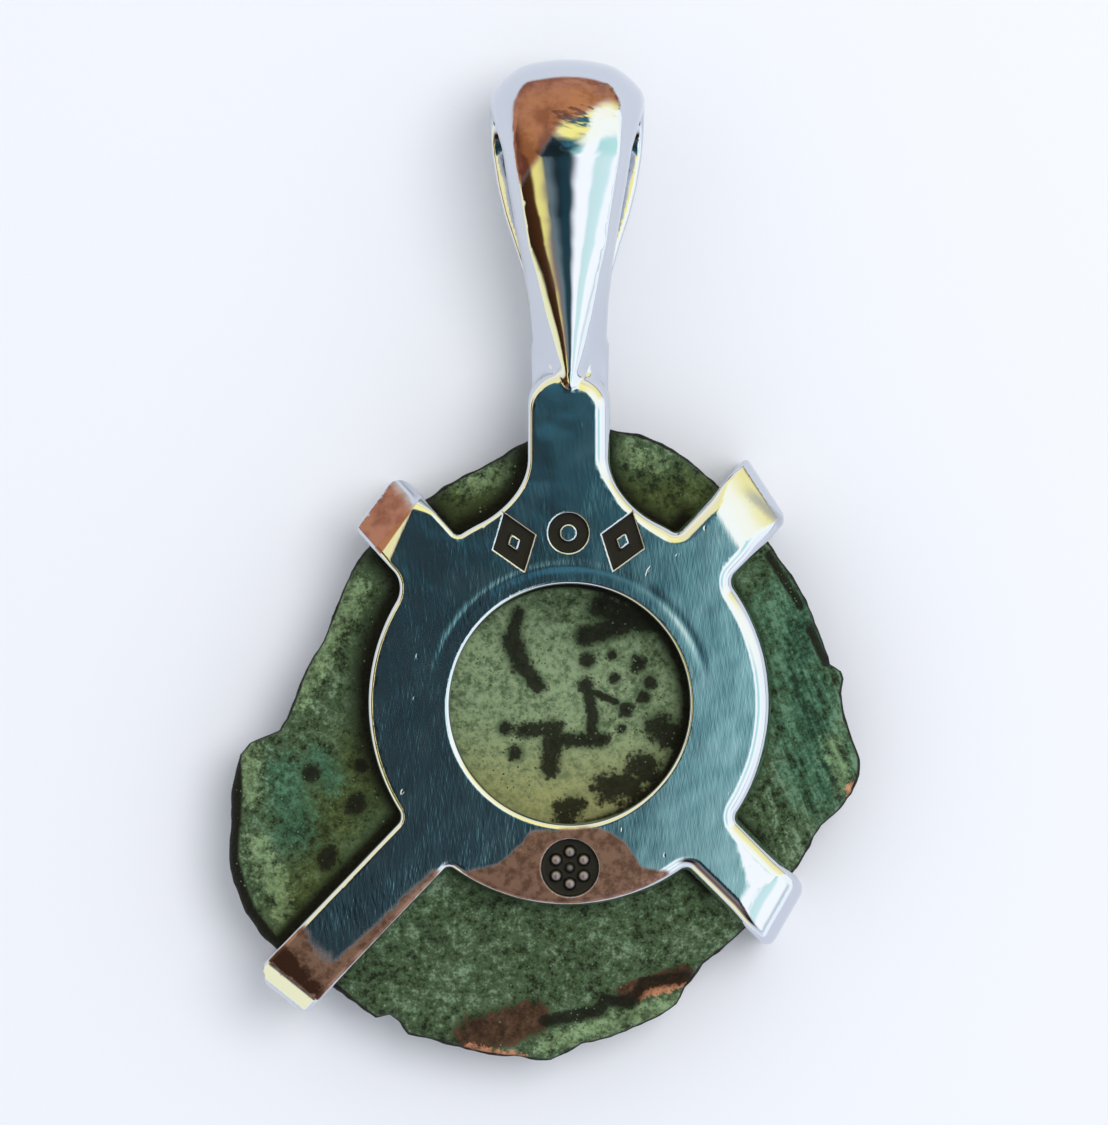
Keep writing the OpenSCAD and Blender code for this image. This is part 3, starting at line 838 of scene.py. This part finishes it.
# Bronze, struck and buried: a crusted green patina with dark cuprite spots, rubbed paler
# inside the window, with bare copper where the crust has flaked at the edge
bronzeLook = {
    "dark": "#181F10", "middle": "#425639", "light": "#7A9173",
    "rubbed": "#8A9D76", "rubbedLow": "#9C9C66", "spots": "#0D0E07",
    "emerald": "#2F6450", "sage": "#7E9468", "olive": "#454C1C", "umber": "#43271A",
    # The last colour here is painted shade with some dirt, laid along the mount, the coin's rim and
    # its side wall
    "copper": "#B98265", "dirtAndShade": "#0C0D07",
}
print("Bronze: building the material")
bronze, tree, shader = newMaterial("patinatedBronze")
shader.inputs["Specular IOR Level"].default_value = 0.2
mm = millimetres(tree)
broad = noise(tree, mm, 0.8, 3.0, 0.6)
mid = noise(tree, mm, 4.5, 5.0, 0.72)
fine = noise(tree, mm, 14.0, 3.0, 0.6)
mottle = mathNode(tree, "MULTIPLY_ADD", mid, 0.72, mathNode(tree, "MULTIPLY", broad, 0.28))
mottle = mathNode(tree, "MULTIPLY_ADD", mathNode(tree, "SUBTRACT", fine, 0.5), 0.3, mottle)
# Strokes on the right part, steep and fine
striae = noise(tree, stretched(tree, mm, 68, (0.9, 6.5, 2.0)), 1.0, 3.0, 0.6)
striae = mathNode(tree, "SUBTRACT", striae, 0.5)
striae = mathNode(tree, "MULTIPLY", striae, attribute(tree, "striae"))
mottle = mathNode(tree, "MULTIPLY_ADD", striae, 0.55, mottle)
colour = mixColours(tree, between(tree, mottle, 0.37, 0.51),
                    bronzeLook["dark"], bronzeLook["middle"])
colour = mixColours(tree, between(tree, mottle, 0.5, 0.67), colour, bronzeLook["light"])
rubbedTone = mixColours(tree, attribute(tree, "low"), bronzeLook["rubbed"], bronzeLook["rubbedLow"])
dull = between(tree, mottle, 0.6, 0.36, 0.0, 0.95)
lessLow = mathNode(tree, "MULTIPLY_ADD", attribute(tree, "low"), -0.5, 1.0)
dull = mathNode(tree, "MULTIPLY", dull, lessLow)
rubbedTone = mixColours(tree, dull, rubbedTone, bronzeLook["middle"])
colour = mixColours(tree, attribute(tree, "rubbed"), colour, rubbedTone)
shade = between(tree, mottle, 0.36, 0.66, 0.45, 1.5)


# Lays a patch's colour over the rest, with a ragged rim, and gives how much of it there is
def patch(tree, colour, name, low, high, raggedness, most):
    ragged = mathNode(tree, "MULTIPLY_ADD", mathNode(tree, "SUBTRACT", mid, 0.5), raggedness,
                      attribute(tree, name))
    ragged = mathNode(tree, "MULTIPLY_ADD", mathNode(tree, "SUBTRACT", fine, 0.5),
                      raggedness * 0.35, ragged)
    share = between(tree, ragged, low, high, 0.0, most)
    tone = addNode(tree, "ShaderNodeVectorMath",
                   {0: linearColour(bronzeLook[name])[:3], "Scale": shade},
                   operation="SCALE").outputs[0]
    return mixColours(tree, share, colour, tone), share


# From the lowest up: where its rim begins and ends, how ragged it is, and the most it covers
patchRims = {
    "olive": (0.1, 0.8, 2.4, 0.6), "emerald": (0.1, 0.9, 2.4, 0.5), "sage": (0.1, 0.8, 2.4, 0.5),
    "umber": (0.1, 0.4, 1.8, 0.9), "copper": (0.15, 0.5, 2.2, 0.85),
    # The last entry lays painted shade, with some dirt, along the mount, the rim and the side wall
    "spots": (-0.3, 0.4, 2.8, 0.95), "dirtAndShade": (0.3, 1.0, 0.9, 1.0),
}
shares = {}
for name, rim in patchRims.items():
    colour, shares[name] = patch(tree, colour, name, *rim)
tree.links.new(colour, shader.inputs["Base Color"])
tree.links.new(mathNode(tree, "MULTIPLY", shares["copper"], 0.6), shader.inputs["Metallic"])
tree.links.new(between(tree, fine, 0.3, 0.7, 0.55, 0.8), shader.inputs["Roughness"])
height = mathNode(tree, "MULTIPLY", mid, 0.06)
height = mathNode(tree, "MULTIPLY_ADD", fine, 0.014, height)
height = mathNode(tree, "MULTIPLY_ADD", striae, 0.06, height)
height = mathNode(tree, "MULTIPLY_ADD", shares["spots"], -0.02, height)
addBump(tree, shader, height)
coin.data.materials.append(bronze)

# Grains of verdigris strewn over the coin's free faces
grainSizes = {
    "perSquareMillimetre": 30.0, "smallest": 0.012, "largest": 0.035,    # radii in millimetres
    "flatness": 0.5, "seed": 7,
}
verdigris, tree, shader = newMaterial("verdigrisGrains")
mm = millimetres(tree)
tone = between(tree, noise(tree, mm, 2.0, 3.0, 0.6), 0.42, 0.6)
tone = mixColours(tree, tone, "#2F3D24", "#5F7658")
tree.links.new(tone, shader.inputs["Base Color"])
chalky = between(tree, noise(tree, mm, 12.0), 0.3, 0.7, 0.65, 0.9)
tree.links.new(chalky, shader.inputs["Roughness"])

tree = bpy.data.node_groups.new("strewGrains", "GeometryNodeTree")
inputs = {}
for label, kind, value in (
        ("Coin", "NodeSocketGeometry", None),
        ("Grains a Square Metre", "NodeSocketFloat", grainSizes["perSquareMillimetre"] * 1e6),
        ("Smallest", "NodeSocketFloat", grainSizes["smallest"] / 1000),
        ("Largest", "NodeSocketFloat", grainSizes["largest"] / 1000),
        ("Flatness", "NodeSocketFloat", grainSizes["flatness"]),
        ("Seed", "NodeSocketInt", grainSizes["seed"]),
        ("Grain Material", "NodeSocketMaterial", verdigris)):
    socket = tree.interface.new_socket(label, in_out="INPUT", socket_type=kind)
    inputs[label] = (socket.identifier, value)
tree.interface.new_socket("Coin", in_out="OUTPUT", socket_type="NodeSocketGeometry")
given = tree.nodes.new("NodeGroupInput").outputs
grainy = addNode(tree, "GeometryNodeInputNamedAttribute", {"Name": "grainy"},
                 data_type="FLOAT").outputs[0]
density = mathNode(tree, "MULTIPLY", grainy, given["Grains a Square Metre"])
strewn = addNode(tree, "GeometryNodeDistributePointsOnFaces",
                 {"Mesh": given["Coin"], "Density": density, "Seed": given["Seed"]}).outputs
ball = addNode(tree, "GeometryNodeMeshIcoSphere", {"Radius": 1.0, "Subdivisions": 1}).outputs[0]
size = addNode(tree, "FunctionNodeRandomValue", {2: given["Smallest"], 3: given["Largest"],
                                                 "Seed": given["Seed"]}).outputs[1]
tall = mathNode(tree, "MULTIPLY", size, given["Flatness"])
form = addNode(tree, "ShaderNodeCombineXYZ", {0: size, 1: size, 2: tall}).outputs[0]
grains = addNode(tree, "GeometryNodeInstanceOnPoints",
                 {"Points": strewn["Points"], "Instance": ball, "Rotation": strewn["Rotation"],
                  "Scale": form}).outputs[0]
grains = addNode(tree, "GeometryNodeRealizeInstances", {"Geometry": grains}).outputs[0]
grains = addNode(tree, "GeometryNodeSetShadeSmooth",
                 {"Geometry": grains, "Shade Smooth": True}).outputs[0]
grains = addNode(tree, "GeometryNodeSetMaterial",
                 {"Geometry": grains, "Material": given["Grain Material"]}).outputs[0]
joined = tree.nodes.new("GeometryNodeJoinGeometry")
tree.links.new(grains, joined.inputs[0])
tree.links.new(given["Coin"], joined.inputs[0])
leaving = tree.nodes.new("NodeGroupOutput")
tree.links.new(joined.outputs[0], leaving.inputs[0])
strew = coin.modifiers.new("strewGrains", "NODES")
strew.node_group = tree
for identifier, value in inputs.values():
    if value is not None:
        strew[identifier] = value
depsgraph = bpy.context.evaluated_depsgraph_get()
bareMesh = coin.data
grained = bpy.data.meshes.new_from_object(coin.evaluated_get(depsgraph),
                                          preserve_all_data_layers=True, depsgraph=depsgraph)
coin.modifiers.clear()
coin.data = grained
bpy.data.meshes.remove(bareMesh)
grained.name = "bronzeCoin"
used = np.zeros(len(grained.polygons), np.int32)
grained.polygons.foreach_get("material_index", used)
isGrain = np.array([material == verdigris for material in grained.materials])[used]
grained.materials.clear()
grained.materials.append(bronze)
grained.materials.append(verdigris)
grained.polygons.foreach_set("material_index", isGrain.astype(np.int32))
print("Coin: strewn with grains,", len(used), "faces,", isGrain.sum(), "of them on grains")

for piece, node, slot in ((setting, "setting", "silver"), (coin, "coin", "bronze")):
    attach(piece, "root")
    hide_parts(node)

# The pale table, its half width in metres
print("Room: table, mirrored room, lamp and camera")
floorMesh = bpy.data.meshes.new("paleTable")
half = 0.6
corners = [(-half, -half, 0), (half, -half, 0), (half, half, 0), (-half, half, 0)]
floorMesh.from_pydata(corners, [], [(0, 1, 2, 3)])
floor = bpy.data.objects.new("paleTable", floorMesh)
bpy.context.scene.collection.objects.link(floor)
paper, tree, shader = newMaterial("whitePaper")
shader.inputs["Base Color"].default_value = linearColour("#F1F2F6")
shader.inputs["Roughness"].default_value = 0.8
floorMesh.materials.append(paper)

# What the polished metal mirrors of the room: for eleven bearings, the colour at each angle away
# from straight up. Diffuse surfaces get an even white fill.
roomRows = [
    (0, [(0, "#19292D"), (3, "#2A4E56"), (7, "#6C9C9E"), (11, "#A8D2CC"), (14, "#FFFFFF"),
         (24, "#FFFFFF"), (27, "#B4E0DA"), (40, "#C0E8E0"), (44, "#FFFFFF"), (60, "#F4FAF4"),
         (86, "#F4F8FA"), (89, "#6A6E70")]),
    (19, [(0, "#19292D"), (3, "#2A4E56"), (8, "#5C8C90"), (12, "#C8DCD0"), (15, "#FFFFF4"),
          (62, "#FFFFEE"), (86, "#F4F8FA")]),
    (34, [(0, "#19292D"), (4, "#2C4E56"), (9, "#4E7C80"), (13, "#F0F4D8"), (17, "#FFFFF0"),
          (46, "#FFFCE4"), (58, "#FBF4C0"), (74, "#F5EAA0"), (84, "#F2E8A4"), (88, "#8A7A54")]),
    (80, [(0, "#19292D"), (2, "#335F6D"), (6, "#386A7A"), (10, "#2F5A68"), (13, "#5A7A70"),
          (18, "#FFF08C"), (54, "#FFF6A8"), (62, "#EADDA0"), (76, "#F3EFDC"), (86, "#D8D4C8"),
          (90, "#77685A")]),
    (105, [(0, "#19292D"), (2, "#2E5662"), (6, "#30606E"), (11, "#264A54"), (14, "#8A8468"),
           (18, "#F3E9B0"), (56, "#F0E6B4"), (76, "#F1EEE0"), (86, "#D0C8BC")]),
    (135, [(0, "#1A2529"), (1.4, "#1A2427"), (2.4, "#33464D"), (3.6, "#182226"), (5, "#34484F"),
           (6.6, "#1A2629"), (13, "#203038"), (17, "#6A6450"), (21, "#EFE3B0"), (58, "#F1E8BC"),
           (76, "#F2EFE2"), (86, "#CFC8BC")]),
    (180, [(0, "#1A2529"), (1.4, "#182022"), (2.4, "#36454B"), (3.6, "#172022"), (5, "#36474E"),
           (6.6, "#182225"), (16, "#18242A"), (21, "#5A5440"), (25, "#F3E9A8"), (34, "#EFE08C"),
           (39, "#5A3A1E"), (52, "#3A2414"), (58, "#E8E0B8"), (76, "#F2F0E8"), (90, "#C8C4BC")]),
    (207, [(0, "#1A2529"), (1.4, "#182022"), (2.4, "#344248"), (3.6, "#172022"), (5, "#344349"),
           (6.6, "#182224"), (23, "#1C2A30"), (26, "#1F3B42"), (28, "#EEDF84"), (37, "#EEE084"),
           (39.5, "#4A2C18"), (56, "#2A1810"), (62, "#EFE9B0"), (88, "#F4F0D0")]),
    (232, [(0, "#1A2529"), (1.4, "#182022"), (2.4, "#344248"), (3.6, "#172022"), (5, "#344349"),
           (6.6, "#182224"), (19, "#1C2A30"), (25, "#66767A"), (34, "#8A7068"), (48, "#5E4A46"),
           (57, "#948C8C"), (68, "#EFE9B0"), (88, "#F4F0D0")]),
    (270, [(0, "#1A2529"), (1.4, "#1A2629"), (2.4, "#34484F"), (3.6, "#1A282C"), (5, "#344C53"),
           (6.6, "#1C2C31"), (14, "#1C3038"), (17, "#1E3A42"), (27, "#26424A"), (31, "#5A5048"),
           (38, "#2A1A16"), (50, "#1C1218"), (62, "#C8CCD8"), (90, "#E8ECF4")]),
    (315, [(0, "#19292D"), (4, "#3A5E64"), (7, "#78A2A2"), (12, "#A4CCC6"), (16, "#FFFFFF"),
           (29, "#FFFFFF"), (32, "#CCE8E2"), (42, "#D4EEEA"), (45, "#FFFFFF"), (57, "#FFFFFF"),
           (60, "#B8C6C6"), (63, "#C4D0D0"), (67, "#F0F6FC"), (90, "#F0F4FB")]),
]
roomGlow = 1.45      # how much brighter the room is to the metal than to plain surfaces
world = bpy.data.worlds.new("room")
bpy.context.scene.world = world
world.use_nodes = True
# The fill and the mirrored room differ, so only rays that leave a surface may meet them
world.cycles.sampling_method = "NONE"
tree = world.node_tree
tree.nodes.clear()
direction = addNode(tree, "ShaderNodeTexCoord").outputs["Generated"]
parts = addNode(tree, "ShaderNodeSeparateXYZ", {0: direction}).outputs
fromUp = mathNode(tree, "DIVIDE", mathNode(tree, "ARCCOSINE", parts[2]), math.pi / 2)
bearing = mathNode(tree, "ARCTAN2", parts[1], parts[0])
room = None
for k, (middle, stops) in enumerate(roomRows):
    ramp = addNode(tree, "ShaderNodeValToRGB", {0: fromUp})
    while len(ramp.color_ramp.elements) < len(stops):
        ramp.color_ramp.elements.new(1)
    for element, (angle, text) in zip(ramp.color_ramp.elements, stops):
        element.position = angle / 90
        element.color = linearColour(text)
    before = math.radians((middle - roomRows[k - 1][0]) % 360)
    after = math.radians((roomRows[(k + 1) % len(roomRows)][0] - middle) % 360)
    away = mathNode(tree, "SUBTRACT", bearing, math.radians(middle))
    away = mathNode(tree, "WRAP", away, math.pi, -math.pi)
    rising = between(tree, away, -0.8 * before, -0.2 * before)
    falling = between(tree, away, 0.2 * after, 0.8 * after, 1.0, 0.0)
    share = mathNode(tree, "MULTIPLY", rising, falling)
    part = {0: ramp.outputs[0], 1: share, 2: room if room else (0, 0, 0)}
    room = addNode(tree, "ShaderNodeVectorMath", part, operation="MULTIPLY_ADD").outputs[0]
isGlossy = addNode(tree, "ShaderNodeLightPath").outputs["Is Glossy Ray"]
colour = addNode(tree, "ShaderNodeMix", {0: isGlossy, 6: linearColour("#D8DCE3"), 7: room},
                 data_type="RGBA").outputs[2]
strength = mathNode(tree, "MULTIPLY_ADD", isGlossy, roomGlow - 1, 1.0)
background = addNode(tree, "ShaderNodeBackground", {"Color": colour, "Strength": strength})
addNode(tree, "ShaderNodeOutputWorld", {"Surface": background.outputs[0]})


# A round soft lamp: its place and target in millimetres, its size in metres
def addLamp(name, place, target, size, power, hexColour):
    lamp = bpy.data.lights.new(name, "AREA")
    lamp.shape = "DISK"
    lamp.size = size
    lamp.energy = power
    lamp.color = linearColour(hexColour)[:3]
    holder = bpy.data.objects.new(name, lamp)
    bpy.context.scene.collection.objects.link(holder)
    holder.location = [c / 1000 for c in place]
    way = np.array(target, float) - np.array(place, float)
    holder.rotation_euler = Vector(way).to_track_quat("-Z", "Y").to_euler()
    return holder


keyLamp = addLamp("keyLamp", place=(70, 35, 190), target=(0, 0, 0), size=0.12, power=0.17,
                  hexColour="#FFFFFF")
keyLamp.visible_glossy = False      # the metal mirrors the room alone

# The camera looks straight down at the pendant's back, as in the photograph
cameraPlace = {"right": 0.000247, "up": -0.000031, "aboveBack": 0.15}     # metres
camera = bpy.data.cameras.new("camera")
camera.sensor_width = 36
camera.lens = 192
camera.clip_start = 0.01
camera.clip_end = 5
holder = bpy.data.objects.new("camera", camera)
bpy.context.scene.collection.objects.link(holder)
holder.location = (cameraPlace["right"], cameraPlace["up"],
                   cameraPlace["aboveBack"] + backZ / 1000)
bpy.context.scene.camera = holder
bpy.context.scene.view_settings.view_transform = "Standard"
